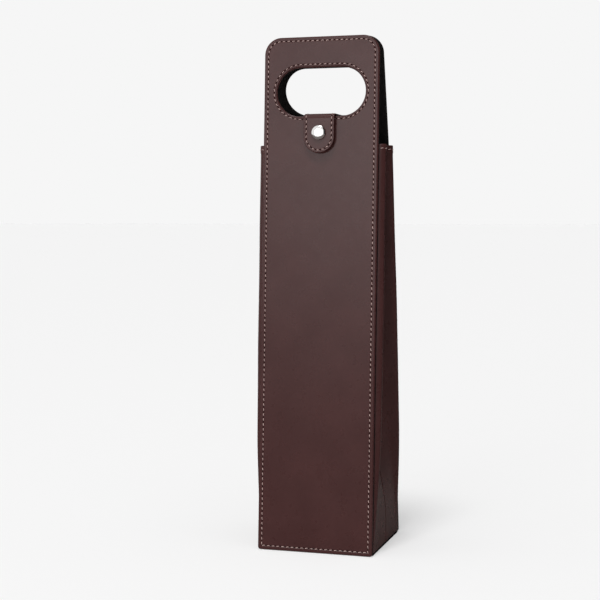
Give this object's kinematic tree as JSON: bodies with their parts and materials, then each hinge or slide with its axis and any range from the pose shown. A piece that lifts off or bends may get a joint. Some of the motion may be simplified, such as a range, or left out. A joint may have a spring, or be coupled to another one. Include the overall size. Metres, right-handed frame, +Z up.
{
  "type": "bottle carrier",
  "caption": "Tall slim leatherette bottle carrier: leaning panels with handle holes, folded side gussets, a flat base and a strap that snaps shut over the front.",
  "frame": {"origin": "on the floor under the middle of the base", "axes": "+Z up, -Y towards the panel that the strap snaps on, +X across that panel"},
  "size_m": [0.0918, 0.0854, 0.3609],
  "materials": {
    "leatherette": "fine grained, satin",
    "lining": "matt black backing",
    "board": "raw pressed board",
    "thread": "twisted sewing thread",
    "polished_metal": "polished",
    "plain_metal": "plated"
  },
  "bodies": {
    "base": {"base_cover": "leatherette", "base_board": "board", "base_lining": "lining", "left_gusset": "leatherette", "left_gusset_lining": "lining", "left_gusset_thread": "thread", "right_gusset": "leatherette", "right_gusset_lining": "lining", "right_gusset_thread": "thread"},
    "front_panel": {"front_facing": "leatherette", "front_board": "board", "front_lining": "lining", "front_edge_thread": "thread", "front_handle_thread": "thread", "snap_stud": "plain_metal", "snap_post": "plain_metal"},
    "back_panel": {"back_facing": "leatherette", "back_board": "board", "back_lining": "lining", "back_edge_thread": "thread", "back_handle_thread": "thread", "strap_root": "leatherette", "strap_root_thread": "thread"},
    "strap_bridge": {"strap_bridge_facing": "leatherette", "strap_bridge_lining": "lining"},
    "strap_flap": {"strap_flap_facing": "leatherette", "strap_flap_lining": "lining", "strap_flap_thread": "thread", "snap_cap": "polished_metal", "snap_socket": "plain_metal"}
  },
  "joints": [
    {"name": "back_panel_open", "type": "hinge", "parent": "base", "child": "back_panel", "pos_m": [0, 0.0425, 0.00052], "axis": [-1, 0, 0], "range_deg": [0, 2]},
    {"name": "front_panel_open", "type": "hinge", "parent": "base", "child": "front_panel", "pos_m": [0, -0.0425, 0.0002], "axis": [1, 0, 0], "range_deg": [0, 1.3]},
    {"name": "strap_lift", "type": "hinge", "parent": "back_panel", "child": "strap_bridge", "pos_m": [0, -0.00448, 0.30608], "axis": [-1, 0, 0], "range_deg": [0, 18.3]},
    {"name": "flap_swing", "type": "hinge", "parent": "strap_bridge", "child": "strap_flap", "pos_m": [0, -0.03033, 0.30608], "axis": [-1, 0, 0], "range_deg": [0, 109.5]}
  ],
  "couplings": [
    {"joint": "front_panel_open", "follows": "back_panel_open", "ratio": 0.636},
    {"joint": "strap_lift", "follows": "back_panel_open", "ratio": 9.1},
    {"joint": "flap_swing", "follows": "back_panel_open", "ratio": 54.5}
  ]
}
